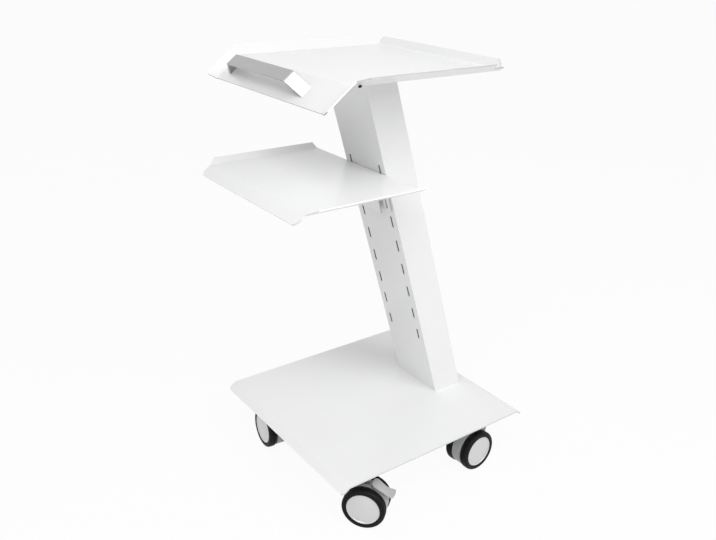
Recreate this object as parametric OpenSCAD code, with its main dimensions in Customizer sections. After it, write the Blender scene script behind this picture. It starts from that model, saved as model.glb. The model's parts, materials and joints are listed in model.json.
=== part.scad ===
/* [Base] */
// Width of the base plate
base_w = 405; // [340:5:460]
// Depth of the base plate between its front and back bends
base_d = 400; // [340:5:460]
// Height of the base plate's top face above the floor
base_z = 120; // [114:1:135]
// Thickness of the base plate's sheet
base_t = 3; // [2:0.1:4]
// Length of the base plate's front and back lips
base_lip = 18; // [8:1:24]
// Slope of the base plate's lips below level
base_lip_angle = 35; // [20:1:60]

/* [Column] */
// Width of the column
col_w = 116; // [104:1:150]
// Depth of the column, measured level
col_d = 64; // [50:1:80]
// Lean of the column towards the front
col_lean = 17; // [10:0.5:20]
// Place of the column's front face where it meets the base plate
col_y = 115; // [95:1:125]
// Thickness of the column's sheet
col_t = 2; // [1.5:0.1:3]
// Width of the lips that the back cover is screwed to
col_lip = 14; // [10:1:20]
// Thickness of the back cover
cover_t = 1.5; // [1:0.1:2]
// Thickness of the plates at the column's head and foot
plate_t = 5; // [4:0.5:8]

/* [Slots] */
// Distance between the centres of the two rows of slots
slot_gap = 85; // [78:1:90]
// Distance from one slot to the next along the column
slot_pitch = 51.5; // [46:0.5:56]
// Length of a slot
slot_l = 24; // [20:0.5:28]
// Width of a slot
slot_w = 4; // [3.5:0.1:5]
// Number of slots in a row
slot_count = 8; // [7:1:9]
// Distance of the lowest slot's centre from the foot of the column
slot_first = 143; // [120:1:150]

/* [Tray] */
// Height of the tray's top face
tray_z = 781; // [740:1:800]
// Width of the tray between its side bends
tray_w = 326; // [280:2:380]
// Place of the tray's bend to the apron
tray_front = -182; // [-210:1:-165]
// Place of the tray's back bend
tray_back = 114; // [90:1:140]
// Thickness of the tray's sheet
tray_t = 2; // [1.5:0.1:3]
// Width of the tray's side wings
wing_w = 35; // [20:1:45]
// Rise of the side wings above level
wing_angle = 26; // [10:1:45]
// Height of the tray's back upstand along its slope
upstand_h = 16; // [10:1:30]
// Rise of the back upstand above level
upstand_angle = 75; // [45:1:85]
// Distance from the front bend to where a side wing has its full width
wing_front_cut = 14; // [4:1:20]
// Distance from the back bend to where a side wing has its full width
wing_back_cut = 40; // [20:1:60]
// Width that a side wing keeps at its back end
wing_end_w = 15; // [8:1:18]

/* [Apron] */
// Length of the apron down its slope
apron_l = 59; // [56:1:80]
// Slope of the apron below level
apron_angle = 37.5; // [25:0.5:50]
// Width of the apron's side wings
apron_wing_w = 23.5; // [10:0.5:30]
// Rise of the apron's side wings above its slope
apron_wing_angle = 31; // [15:1:45]
// Radius of the black buttons under the tray's front corners
button_r = 2.6; // [2:0.1:4]
// Distance of the buttons behind the apron's bend
button_back = 11.5; // [8:0.5:18]

/* [Handle] */
// Length of the handle's bar between its two bends
handle_l = 178; // [140:1:200]
// Width of the handle's flat bar
handle_w = 22.5; // [18:0.5:28]
// Thickness of the handle's flat bar
handle_t = 4; // [3:0.5:6]
// Height of the handle's outer face above the apron
handle_h = 28; // [24:1:50]
// Distance that each leg spreads outwards down to the apron
handle_spread = 26; // [10:1:35]
// Distance from the apron's bend to the middle of the handle, down the slope
handle_place = 32.5; // [26:0.5:40]
// Place of the middle of the handle across the apron
handle_x = -28; // [-40:1:40]
// Inner radius of the handle's bends
handle_r = 5; // [3:0.5:12]

/* [Shelf] */
// Height of the shelf's top face
shelf_z = 598; // [585:1:610]
// Width of the shelf between its side bends
shelf_w = 308; // [260:2:360]
// Depth of the shelf from its front bend to the column
shelf_d = 222; // [180:2:240]
// Thickness of the shelf's sheet
shelf_t = 2; // [1.5:0.1:3]
// Length of the shelf's front lip
shelf_lip = 23; // [12:0.5:30]
// Slope of the front lip below level
shelf_lip_angle = 36; // [20:1:60]
// Width of the shelf's side wings
shelf_wing_w = 16; // [8:0.5:22]
// Rise of the shelf's side wings above level
shelf_wing_angle = 31; // [15:1:50]
// Clearance between the column's face and what hangs on it
hang_gap = 0.4; // [0.3:0.1:1]
// Distance that the shelf can be lifted in its slots
lift = 8; // [6:0.5:9]

/* [Casters] */
// Distance of each caster's pivot from the base plate's side edge
caster_inset_x = 52.5; // [45:0.5:70]
// Distance of each caster's pivot from the base plate's front or back bend
caster_inset_y = 50; // [45:0.5:70]
// Radius of the wheels
wheel_r = 40; // [36:0.5:42]
// Width of one tyre
tyre_w = 16; // [12:0.5:18]
// Width of a caster over its two wheels
twin_w = 54.8; // [50:0.2:60]
// Distance from a caster's pivot to its axle
trail = 22; // [18:0.5:28]
// Radius of the wheel's cover disc
disc_r = 30.5; // [26:0.5:32]
// Radius of the wheel's hub
hub_r = 31.5; // [28:0.5:33]
// Radius of the axle
axle_r = 4; // [3:0.5:5]
// Radius of the pivot pin
pivot_r = 6; // [5:0.5:7]
// Clearance all round the axle and the pivot pin
run_gap = 0.05; // [0.02:0.01:0.1]
// Clearance at the sides of the wheels
side_gap = 1.1; // [0.6:0.1:1.5]

/* [Hidden] */
$fn = 64;

powder_white = [0.93, 0.93, 0.92];
housing_grey = [0.62, 0.63, 0.64];
disc_grey = [0.83, 0.83, 0.84];
tyre_black = [0.10, 0.10, 0.11];
steel = [0.66, 0.67, 0.69];

// Number of straight pieces in each rounded bend
bend_steps = 6;
// Outer radius of a bend in sheet of thickness t
function bend_r(t) = 2 * t;

// Casters: name, side, end, and swivel angle at rest
FR = [1, -1, 38.5];
FL = [-1, -1, -5.5];
RR = [1, 1, -86.5];
RL = [-1, 1, 218.5];

col_tan = tan(col_lean);
col_rise = (tray_z - tray_t - base_z) / cos(col_lean);
// Level depth of sheet laid on the column's leaning faces
function level(t) = t / cos(col_lean);

// Geometry helpers for bent sheet
function unit(v) = v / norm(v);
function left_of(v) = [-v[1], v[0]];
function turn(a, b, c) = sign((b[0] - a[0]) * (c[1] - b[1]) - (b[1] - a[1]) * (c[0] - b[0]));

// Arc that replaces the corner b between a and c
function corner_arc(a, b, c, r) =
    let (u = unit(a - b), w = unit(c - b), inner = acos(u * w), s = turn(a, b, c))
    let (centre = b + unit(u + w) * r / sin(inner / 2), start = b + u * r / tan(inner / 2))
    let (from = atan2(start[1] - centre[1], start[0] - centre[0]))
    [for (k = [0:bend_steps]) let (q = from + s * (180 - inner) * k / bend_steps)
        centre + r * [cos(q), sin(q)]];

// Open path with each inner corner rounded
function bent(p, r) = concat([p[0]],
    [for (i = [1:len(p) - 2]) each corner_arc(p[i - 1], p[i], p[i + 1], r)], [p[len(p) - 1]]);

// Closed outline with each corner rounded by its own radius
function rounded(p, r) = let (n = len(p))
    [for (i = [0:n - 1])
        each r[i] > 0 ? corner_arc(p[(i + n - 1) % n], p[i], p[(i + 1) % n], r[i]) : [p[i]]];

// Outline of sheet of thickness t to the left of a path
function sheet(p, t) = let (n = len(p))
    concat(p, [for (i = [n - 1:-1:0])
        let (a = unit(p[min(i + 1, n - 1)] - p[min(i, n - 2)]), b = unit(p[max(i, 1)] - p[max(i - 1, 0)]))
        let (m = unit(a + b)) p[i] + left_of(m) * t / (m * a)]);

// Extrusions of a flat outline along X, from y and z, and along Y, from x and z
module along_x(x0, x1) {
    translate([x0, 0, 0]) rotate([90, 0, 90]) linear_extrude(height = x1 - x0) children();
}

module along_y(y0, y1) {
    translate([0, y1, 0]) rotate([90, 0, 0]) linear_extrude(height = y1 - y0) children();
}

// Local frames: the column's front face, the apron and the casters
module on_column() {
    translate([0, col_y, base_z]) rotate([col_lean, 0, 0]) children();
}

module on_apron() {
    translate([0, tray_front, tray_z]) rotate([apron_angle, 0, 0]) children();
}

module on_caster(c) {
    translate([c[0] * (base_w / 2 - caster_inset_x), c[1] * (base_d / 2 - caster_inset_y), 0])
        rotate([0, 0, c[2]]) children();
}

module cone(r0, r1, h) {
    rotate_extrude() polygon([[0, 0], [r0, 0], [r1, h], [0, h]]);
}

// Base plate
bolt_r = 3;
bolt_fit = 0.25;
foot_bolt_x = 36;
foot_bolt_y = 16;
col_mid_y = col_y + col_d / 2;
caster_stud_x = 19;
mount_w = 54;
base_corner_r = 8;
mount_t = 3;

function base_path() = let (c = base_lip * cos(base_lip_angle), s = base_lip * sin(base_lip_angle))
    [[base_d / 2 + c, base_z - s], [base_d / 2, base_z],
        [-base_d / 2, base_z], [-base_d / 2 - c, base_z - s]];

function box_plan(x, y, r) = rounded([[-x, -y], [x, -y], [x, y], [-x, y]], [r, r, r, r]);

function base_outline() =
    box_plan(base_w / 2, base_d / 2 + base_lip * cos(base_lip_angle) + 0.1, base_corner_r);

module foot_bolt_places() {
    for (x = [-foot_bolt_x, foot_bolt_x], y = [-foot_bolt_y, foot_bolt_y])
        translate([x, col_mid_y + y, 0]) children();
}

module caster_stud_places(c) {
    on_caster([c[0], c[1], 0])
        for (x = [-caster_stud_x, caster_stud_x], y = [-caster_stud_x, caster_stud_x])
            translate([x, y, 0]) children();
}

module base_plate() color(powder_white) difference() {
    intersection() {
        along_x(-base_w / 2, base_w / 2) polygon(sheet(bent(base_path(), bend_r(base_t)), base_t));
        translate([0, 0, base_z - base_lip - base_t]) linear_extrude(height = 2 * base_lip)
            polygon(base_outline());
    }
    foot_bolt_places() translate([0, 0, base_z - base_t - 1])
        cylinder(r = bolt_r + bolt_fit, h = base_t + 2);
}

// Column
function lean_at(z) = -(z - base_z) * col_tan;
function lean_block(y0, y1, z0, z1) = [[y0 + lean_at(z0), z0], [y1 + lean_at(z0), z0],
    [y1 + lean_at(z1), z1], [y0 + lean_at(z1), z1]];

col_z0 = base_z;
col_z1 = tray_z - tray_t;
screw_r = 2;
cover_screw_z = [60, 250, 440, 600];

module slot_cut(x, s, l, w, depth) {
    translate([x, 0, s]) {
        translate([-w / 2, -1, -l / 2 + w / 2]) cube([w, depth + 1, l - w]);
        for (e = [-1, 1]) translate([0, -1, e * (l - w) / 2]) rotate([-90, 0, 0])
            cylinder(r = w / 2, h = depth + 1);
    }
}

module cover_screw_places() {
    on_column() for (s = [-1, 1], h = cover_screw_z)
        translate([s * (col_w / 2 - col_t - col_lip / 2), col_d * cos(col_lean), h]) rotate([-90, 0, 0])
            children();
}

module column_shell() color(powder_white) difference() {
    union() {
        both_sides() along_x(col_w / 2 - col_t, col_w / 2)
            polygon(lean_block(col_y, col_y + col_d, col_z0, col_z1));
        along_x(-col_w / 2, col_w / 2)
            polygon(lean_block(col_y, col_y + level(col_t), col_z0, col_z1));
        both_sides() along_x(col_w / 2 - col_t - col_lip, col_w / 2)
            polygon(lean_block(col_y + col_d - level(cover_t + col_t), col_y + col_d - level(cover_t),
                col_z0, col_z1));
    }
    on_column() for (s = [-1, 1], k = [0:slot_count - 1])
        slot_cut(s * slot_gap / 2, slot_first + k * slot_pitch, slot_l, slot_w, col_t + 2);
    cover_screw_places() translate([0, 0, -col_t - cover_t - 1]) cylinder(r = screw_r, h = col_t + 2);
}

cover_gap = 0.3;

module column_back_cover() color(powder_white) difference() {
    along_x(-col_w / 2 + col_t + cover_gap, col_w / 2 - col_t - cover_gap)
        polygon(lean_block(col_y + col_d - level(cover_t), col_y + col_d, col_z0, col_z1));
    cover_screw_places() translate([0, 0, -cover_t - 1]) cylinder(r = screw_r + 0.2, h = cover_t + 2);
}

screw_head_r = 3.6;
screw_head_h = 1.6;

module cover_screws() color(steel) cover_screw_places() {
    translate([0, 0, -cover_t - col_t - 3]) cylinder(r = screw_r, h = cover_t + col_t + 3);
    cone(screw_head_r, screw_head_r - 1, screw_head_h);
}

// The head and foot plates fill the column and are welded to its walls

module end_plate(z0, z1) {
    along_x(-col_w / 2 + col_t, col_w / 2 - col_t)
        polygon(lean_block(col_y + level(col_t), col_y + col_d - level(cover_t + col_t), z0, z1));
}

module column_foot_plate() color(steel) difference() {
    end_plate(base_z, base_z + plate_t);
    foot_bolt_places() translate([0, 0, base_z - 1]) cylinder(r = bolt_r, h = plate_t + 2);
}

bolt_head_r = 5.5;
bolt_head_h = 3.5;

module foot_bolts() color(steel) foot_bolt_places() {
    translate([0, 0, base_z - base_t - bolt_head_h]) cylinder(r = bolt_head_r, h = bolt_head_h);
    translate([0, 0, base_z - base_t]) cylinder(r = bolt_r, h = base_t + plate_t + 2);
}

head_mid_y = col_mid_y + lean_at(tray_z);
stud_r = 3;
nut_r = 5.5;
nut_h = 5;

module stud_places() {
    for (x = [-foot_bolt_x, foot_bolt_x], y = [-foot_bolt_y, foot_bolt_y])
        translate([x, head_mid_y + y, 0]) children();
}

module column_head_plate() color(steel) difference() {
    end_plate(tray_z - tray_t - plate_t, tray_z - tray_t);
    stud_places() translate([0, 0, tray_z - tray_t - plate_t - 1])
        cylinder(r = stud_r + bolt_fit, h = plate_t + 2);
}

module tray_studs() color(steel) stud_places() {
    translate([0, 0, tray_z - tray_t - plate_t - nut_h - 2]) cylinder(r = stud_r, h = plate_t + nut_h + 2);
}

module nut(r, hole_r, h) difference() {
    cylinder(r = r, h = h, $fn = 6);
    translate([0, 0, -1]) cylinder(r = hole_r, h = h + 2);
}

module tray_nuts() color(steel) stud_places() {
    translate([0, 0, tray_z - tray_t - plate_t - nut_h]) nut(nut_r, stud_r, nut_h);
}

// Top tray
function tray_path() = let (c = upstand_h * cos(upstand_angle), s = upstand_h * sin(upstand_angle))
    [[tray_back + c, tray_z + s], [tray_back, tray_z], [tray_front, tray_z],
    [tray_front - apron_l * cos(apron_angle), tray_z - apron_l * sin(apron_angle)]];

function wing_section(w, a, x, z) = let (c = w * cos(a), s = w * sin(a))
    [[x + c, z + s], [x, z], [-x, z], [-x - c, z + s]];

upstand_end_r = 15;
apron_corner_r = 12;
wing_out = wing_w * cos(wing_angle);
wing_end_out = wing_end_w * cos(wing_angle);
apron_wing_out = apron_wing_w * cos(apron_wing_angle);
wing_corner_r = 6;

// The flat sheet ends where its side bends begin, and the wings overlap it there
flat_half = tray_w / 2 - bend_r(tray_t) * tan(apron_wing_angle / 2);
wing_root = flat_half - tray_t;
wing_back = tray_back - bend_r(tray_t) * tan(upstand_angle / 2);

// Plan of one side wing, and what of it is left after its ends are cut
function wing_plan() = rounded([[wing_root, tray_front - mitre_reach],
    [tray_w / 2 + apron_wing_out, tray_front - mitre_reach],
    [tray_w / 2 + apron_wing_out, tray_front - mitre_y],
    [tray_w / 2 + wing_out + 1, tray_front + wing_front_cut],
    [tray_w / 2 + wing_out + 1, tray_back - wing_back_cut],
    [tray_w / 2 + wing_end_out, tray_back - wing_back_cut + 12],
    [tray_w / 2 + wing_end_out, tray_back - 5],
    [tray_w / 2, wing_back], [wing_root, wing_back]],
    [0, 0, 0, wing_corner_r, wing_corner_r, 5, 3, 0, 0]);

// The wings of the tray and of the apron meet on a plane through their common line
mitre_slope = (tan(apron_wing_angle) - cos(apron_angle) * tan(wing_angle)) / sin(apron_angle);
mitre_angle = atan(mitre_slope / tan(wing_angle));
mitre_y = apron_wing_out * mitre_slope;
mitre_reach = mitre_y + 5;
mitre_lap = 0.08;

module behind_mitre() {
    translate([0, tray_front, tray_z]) rotate([mitre_angle, 0, 0])
        translate([-tray_w, -mitre_lap, -tray_w]) cube([2 * tray_w, 3 * tray_w, 2 * tray_w]);
}

module before_mitre() {
    translate([0, tray_front, tray_z]) rotate([mitre_angle, 0, 0])
        translate([-tray_w, mitre_lap - 3 * tray_w, -tray_w])
            cube([2 * tray_w, 3 * tray_w, 2 * tray_w]);
}

module both_sides() {
    children();
    mirror([1, 0, 0]) children();
}

module top_tray() color(powder_white) {
    union() {
        intersection() {
            along_x(-flat_half, flat_half) polygon(sheet(bent(tray_path(), bend_r(tray_t)), tray_t));
            union() {
                along_y(tray_front + 1, tray_back + 2 * upstand_h)
                    polygon(rounded([[-flat_half, tray_z - upstand_h], [flat_half, tray_z - upstand_h],
                        [flat_half, tray_z + upstand_h * sin(upstand_angle) + 0.6],
                        [-flat_half, tray_z + upstand_h * sin(upstand_angle) + 0.6]],
                        [0, 0, upstand_end_r, upstand_end_r]));
                translate([0, 0, tray_z - apron_l - tray_t])
                    linear_extrude(height = apron_l + upstand_h) polygon(rounded([
                        [-flat_half, tray_front + apron_l / 3],
                        [-flat_half, tray_front - apron_l * cos(apron_angle) - tray_t],
                        [flat_half, tray_front - apron_l * cos(apron_angle) - tray_t],
                        [flat_half, tray_front + apron_l / 3]], [0, apron_corner_r, apron_corner_r, 0]));
            }
        }
        intersection() {
            along_y(tray_front - mitre_reach, tray_back)
                polygon(sheet(bent(wing_section(wing_w, wing_angle, tray_w / 2, tray_z), bend_r(tray_t)),
                    tray_t));
            translate([0, 0, tray_z - wing_w]) linear_extrude(height = 2 * wing_w)
                both_sides() polygon(wing_plan());
            behind_mitre();
        }
        intersection() {
            on_apron() intersection() {
                along_y(-apron_l - 6, mitre_reach) polygon(sheet(bent(wing_section(apron_wing_w,
                    apron_wing_angle, tray_w / 2, 0), bend_r(tray_t)), tray_t));
                translate([0, 0, -apron_wing_w]) linear_extrude(height = 2 * apron_wing_w) both_sides()
                    polygon(apron_wing_plan());
            }
            before_mitre();
        }
    }
}

button_h = 3;
button_off = 4;

module tray_buttons() color(tyre_black) for (s = [-1, 1])
    translate([s * tray_w / 2, tray_front + button_back, tray_z]) rotate([0, -s * wing_angle, 0])
        translate([s * button_off, 0, -tray_t - button_h]) cylinder(r = button_r, h = button_h);

function apron_wing_plan() = rounded([[wing_root, mitre_reach],
    [wing_root, -apron_l + apron_corner_r],
    [tray_w / 2 - 4, -apron_l], [tray_w / 2 + apron_wing_out + 1, -apron_l - 5],
    [tray_w / 2 + apron_wing_out + 1, mitre_reach]], [0, 0, 0, 5, 0]);

// Handle: a flat bar with two legs that spread outwards and are welded to the apron
function handle_path() = let (e = 1.2 * handle_spread, d = 1.2 * handle_h)
    [[handle_x + handle_l / 2 + e, handle_h - d], [handle_x + handle_l / 2, handle_h],
    [handle_x - handle_l / 2, handle_h], [handle_x - handle_l / 2 - e, handle_h - d]];

module handle_bar() color(steel) on_apron()
    along_y(-handle_place - handle_w / 2, -handle_place + handle_w / 2) intersection() {
        polygon(sheet(bent(handle_path(), handle_r + handle_t), handle_t));
        translate([handle_x - handle_l, 0]) square([2 * handle_l, handle_h + handle_t]);
    }

// Middle shelf
shelf_back = col_y + lean_at(shelf_z) - hang_gap - 0.3;
shelf_front = shelf_back - shelf_d;
shelf_wing_out = shelf_wing_w * cos(shelf_wing_angle);

function shelf_path() = let (c = shelf_lip * cos(shelf_lip_angle), s = shelf_lip * sin(shelf_lip_angle))
    [[shelf_back, shelf_z], [shelf_front, shelf_z], [shelf_front - c, shelf_z - s]];

function shelf_wing_plan() = rounded([[shelf_w / 2 - 8, shelf_front], [shelf_w / 2, shelf_front],
    [shelf_w / 2 + shelf_wing_out + 1, shelf_front + shelf_wing_cut],
    [shelf_w / 2 + shelf_wing_out + 1, shelf_back - 3],
    [shelf_w / 2, shelf_back], [shelf_w / 2 - 8, shelf_back]], [0, 0, 4, 2, 0, 0]);

shelf_lip_r = 12;
shelf_wing_cut = 15;

module middle_shelf() color(powder_white) {
    intersection() {
        along_x(-shelf_w / 2, shelf_w / 2) polygon(sheet(bent(shelf_path(), bend_r(shelf_t)), shelf_t));
        translate([0, 0, shelf_z - 2 * shelf_lip]) linear_extrude(height = 3 * shelf_lip)
            polygon(rounded([[-shelf_w / 2, shelf_back + 1],
                [-shelf_w / 2, shelf_front - shelf_lip * cos(shelf_lip_angle) - 0.5],
                [shelf_w / 2, shelf_front - shelf_lip * cos(shelf_lip_angle) - 0.5],
                [shelf_w / 2, shelf_back + 1]], [0, shelf_lip_r, shelf_lip_r, 0]));
    }
    intersection() {
        along_y(shelf_front, shelf_back) polygon(sheet(bent(wing_section(shelf_wing_w, shelf_wing_angle,
            shelf_w / 2, shelf_z), bend_r(shelf_t)), shelf_t));
        translate([0, 0, shelf_z - shelf_wing_w]) linear_extrude(height = 2 * shelf_wing_w) both_sides()
            polygon(shelf_wing_plan());
    }
}

// Shelf bracket: a plate under the shelf, a tongue in front of the column and two hooked ears
bracket_t = 2.5;
bracket_reach = 60;
ear_w = 20;
tongue_w = 62;
tongue_l = 78;
tongue_off = 8;
bracket_z = shelf_z - shelf_t;
bracket_top_s = (bracket_z - base_z) / cos(col_lean);
// The hooks hang in the last pair of slots that is clear of the shelf
hook_room = 25;
hook_slot = min(slot_count - 1, floor((bracket_top_s - hook_room - slot_first) / slot_pitch));
hook_s = slot_first + hook_slot * slot_pitch - slot_l / 2 + 0.8;
hook_neck = 14;
hook_drop = 7;
hook_w = slot_w - 1;
hook_window = 10;
ear_below = 17;
ear_l = bracket_top_s - hook_s + ear_below;
shelf_stud_r = 2.5;
shelf_nut_r = 4.6;
shelf_nut_h = 4;

module shelf_stud_places() {
    for (x = [-40, 40], y = [18, 44]) translate([x, shelf_back - y, 0]) children();
}

module shelf_bracket() color(powder_white) difference() {
    union() {
        translate([-slot_gap / 2 - ear_w / 2, shelf_back - bracket_reach, bracket_z - bracket_t])
            cube([slot_gap + ear_w, bracket_reach + 0.2, bracket_t]);
        on_column() {
            for (s = [-1, 1]) {
                ear(s * slot_gap / 2);
                hook(s * slot_gap / 2);
            }
            translate([-tongue_w / 2, -tongue_off - bracket_t, bracket_top_s - tongue_l])
                cube([tongue_w, bracket_t, tongue_l]);
        }
    }
    translate([-col_w, shelf_back - tongue_l, bracket_z]) cube([2 * col_w, 2 * tongue_l, tongue_l]);
    shelf_stud_places() translate([0, 0, bracket_z - bracket_t - 1])
        cylinder(r = shelf_stud_r + bolt_fit, h = bracket_t + 2);
}

// An ear lies on the column's face, with rounded lower corners and a window below its hook
module ear(x) {
    low = bracket_top_s - ear_l;
    difference() {
        translate([x, -hang_gap, 0]) rotate([90, 0, 0]) linear_extrude(height = bracket_t)
            polygon(rounded([[-ear_w / 2, low], [ear_w / 2, low], [ear_w / 2, bracket_top_s + 2],
                [-ear_w / 2, bracket_top_s + 2]], [8, 8, 0, 0]));
        translate([x - slot_w / 2, -hang_gap - bracket_t - 1, hook_s - hook_window])
            cube([slot_w, bracket_t + 2, hook_window + hook_neck - 4]);
    }
}

// A hook goes through its slot, rests on the slot's lower end and drops behind the column's front wall
module hook(x) {
    translate([x - hook_w / 2, -hang_gap - bracket_t / 2, hook_s])
        cube([hook_w, hang_gap + bracket_t / 2 + col_t + 3.4, hook_neck]);
    translate([x - hook_w / 2, col_t + 0.4, hook_s - hook_drop]) cube([hook_w, 3, hook_drop + 2]);
}

module shelf_studs() color(steel) shelf_stud_places()
    translate([0, 0, bracket_z - bracket_t - shelf_nut_h - 1])
        cylinder(r = shelf_stud_r, h = bracket_t + shelf_nut_h + 1);

module shelf_nuts() color(steel) shelf_stud_places()
    translate([0, 0, bracket_z - bracket_t - shelf_nut_h]) nut(shelf_nut_r, shelf_stud_r, shelf_nut_h);

// Casters
caster_stud_r = 2.5;
tyre_out = twin_w / 2;
tyre_in = tyre_out - tyre_w;
body_half = tyre_in - side_gap;
mount_z = base_z - base_t - mount_t;
race_h = 9;
race_r = 19;
swivel_gap = 0.4;
head_z = mount_z - race_h - swivel_gap;
head_h = 9;

module mount(c) color(tyre_black) {
    difference() {
        on_caster([c[0], c[1], 0]) translate([0, 0, mount_z]) linear_extrude(height = mount_t)
            polygon(box_plan(mount_w / 2, mount_w / 2, 6));
        caster_stud_places(c) translate([0, 0, mount_z - 1]) cylinder(r = caster_stud_r, h = mount_t + 2);
    }
    on_caster(c) {
        translate([0, 0, mount_z - race_h]) cylinder(r = race_r, h = race_h + 1);
        translate([0, 0, pivot_z]) cylinder(r = pivot_r, h = mount_z - pivot_z);
    }
}

pivot_z = head_z - 22;

caster_nut_r = 4.6;
caster_nut_h = 4;

module caster_studs() color(steel) for (c = [FR, FL, RR, RL]) caster_stud_places(c)
    translate([0, 0, mount_z - caster_nut_h - 1])
        cylinder(r = caster_stud_r, h = mount_t + caster_nut_h + 1);

module caster_nuts() color(steel) for (c = [FR, FL, RR, RL]) caster_stud_places(c)
    translate([0, 0, mount_z - caster_nut_h]) nut(caster_nut_r, caster_stud_r, caster_nut_h);

// Side view of a housing: round about the axle, with a neck up to the swivel head
body_r = wheel_r - 1.5;
neck_x = 13;

function body_outline() = let (n = 28, a0 = -118, a1 = 104)
    concat([for (k = [0:n]) let (q = a0 + (a1 - a0) * k / n)
            [trail + body_r * cos(q), wheel_r + body_r * sin(q)]],
        [[neck_x + 3, head_z], [-neck_x, head_z], [-neck_x, head_z - 30]]);

module housing(c) color(housing_grey) on_caster(c) difference() {
    union() {
        along_y(-body_half, body_half) polygon(body_outline());
        translate([0, 0, head_z - head_h]) cylinder(r = race_r - 1, h = head_h);
    }
    translate([0, 0, pivot_z - 1]) cylinder(r = pivot_r + run_gap, h = head_z - pivot_z + 2);
    translate([trail, body_half + 1, wheel_r]) rotate([90, 0, 0])
        cylinder(r = axle_r, h = 2 * body_half + 2);
    for (s = [-1, 1]) translate([trail, s * (body_half + 10 - 1.2), wheel_r]) rotate([90, 0, 0])
        cylinder(r = 12, h = 20, center = true, $fn = 48);
    if (c[1] < 0) {
        on_pin() cylinder(r = pin_r, h = 2 * body_half + 2, center = true);
        translate([trail - 8, -web_w / 2 - 0.5, wheel_r + 20.5]) cube([40, web_w + 1, wheel_r]);
    }
}

axle_end = tyre_out - 5;
washer_t = 1.5;

module axle(c) color(steel) on_caster(c) translate([trail, 0, wheel_r]) rotate([90, 0, 0]) {
    cylinder(r = axle_r, h = 2 * axle_end, center = true);
    for (s = [-1, 1]) translate([0, 0, s * (axle_end + washer_t / 2)])
        cylinder(r = axle_r + 2.5, h = washer_t, center = true);
}

// A wheel's parts are turned about the axle; side is 1 or -1
module on_wheel(c, side) {
    on_caster(c) translate([trail, 0, wheel_r]) mirror([0, side > 0 ? 1 : 0, 0])
        rotate([90, 0, 0]) children();
}

function tyre_section() =
    rounded([[hub_r, tyre_in], [wheel_r, tyre_in], [wheel_r, tyre_out], [hub_r, tyre_out]], [0, 4, 5, 0]);

module tyre(c, side) color(tyre_black) on_wheel(c, side) rotate_extrude($fn = 96) polygon(tyre_section());

disc_t = 1.6;
rim_z = tyre_out - 1 - disc_t;
hub_boss_r = 9;
hub_wall = 3;
hub_rim = 3;

module hub(c, side) color(housing_grey) on_wheel(c, side) rotate_extrude($fn = 96)
    polygon([[axle_r + run_gap, tyre_in - side_gap + 0.4 - 1.2],
        [hub_boss_r, tyre_in - side_gap + 0.4 - 1.2], [hub_boss_r, tyre_in + 3],
        [hub_r - hub_rim, tyre_in + 3], [hub_r - hub_rim, tyre_in], [hub_r, tyre_in],
        [hub_r, rim_z], [hub_r - hub_rim, rim_z], [hub_r - hub_rim, tyre_in + 3 + hub_wall],
        [hub_boss_r, tyre_in + 3 + hub_wall], [hub_boss_r, axle_end - 0.3],
        [axle_r + run_gap, axle_end - 0.3]]);

dome = 3;

function dome_arc(r, z0, h) = [for (k = [0:12]) let (x = r * k / 12) [x, z0 + h * (1 - pow(x / r, 2))]];
function dome_back(r, z0, h) = [for (k = [12:-1:0]) let (x = r * k / 12) [x, z0 + h * (1 - pow(x / r, 2))]];

module disc(c, side) color(disc_grey) on_wheel(c, side) rotate_extrude($fn = 96)
    polygon(concat(dome_arc(disc_r, tyre_out - 1, dome), [[disc_r, rim_z]],
        dome_back(hub_r - hub_rim, rim_z, dome)));

// Brake pedal: a lever arched over the wheels, turning on a pin in the housing
pin_r = 3;
pin_x = 4;
pin_z = 28;
pedal_t = 5;
pedal_w = 24;
pedal_tip = [50, 23];
pedal_end_r = 8;
web_w = 8;
boss_r = 6;

module on_pin() {
    translate([trail + pin_x, 0, wheel_r + pin_z]) rotate([90, 0, 0]) children();
}

function pedal_path() = concat([for (k = [0:8]) let (q = 98 - 46 * k / 8)
    [trail + (wheel_r + 3.5) * cos(q), wheel_r + (wheel_r + 3.5) * sin(q)]],
    [[trail + pedal_tip[0], wheel_r + pedal_tip[1]]]);

module pedal(c) color(disc_grey) on_caster(c) difference() {
    union() {
        intersection() {
            along_y(-pedal_w / 2, pedal_w / 2) polygon(sheet(pedal_path(), pedal_t));
            translate([trail, 0, wheel_r]) linear_extrude(height = 60)
                polygon(rounded([[-12, -pedal_w / 2], [pedal_tip[0] + 2, -pedal_w / 2],
                    [pedal_tip[0] + 2, pedal_w / 2], [-12, pedal_w / 2]],
                    [0, pedal_end_r, pedal_end_r, 0]));
        }
        translate([trail, 0, wheel_r]) along_y(-web_w / 2, web_w / 2)
            polygon([[pin_x - boss_r, pin_z], [-3, 44], [22, 39.5], [pin_x + boss_r, pin_z]]);
        on_pin() cylinder(r = boss_r, h = web_w, center = true);
    }
    on_pin() cylinder(r = pin_r + run_gap, h = web_w + 2, center = true);
}

module pedal_pin(c) color(steel) on_caster(c) on_pin()
    cylinder(r = pin_r, h = 2 * body_half - 1, center = true);

// The origin is at the middle of the trolley's footprint
shelf_reach = shelf_front - shelf_lip * cos(shelf_lip_angle);
middle_y = (shelf_reach + base_d / 2 + base_lip * cos(base_lip_angle)) / 2;

module place() {
    translate([0, -middle_y, 0]) children();
}

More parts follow.
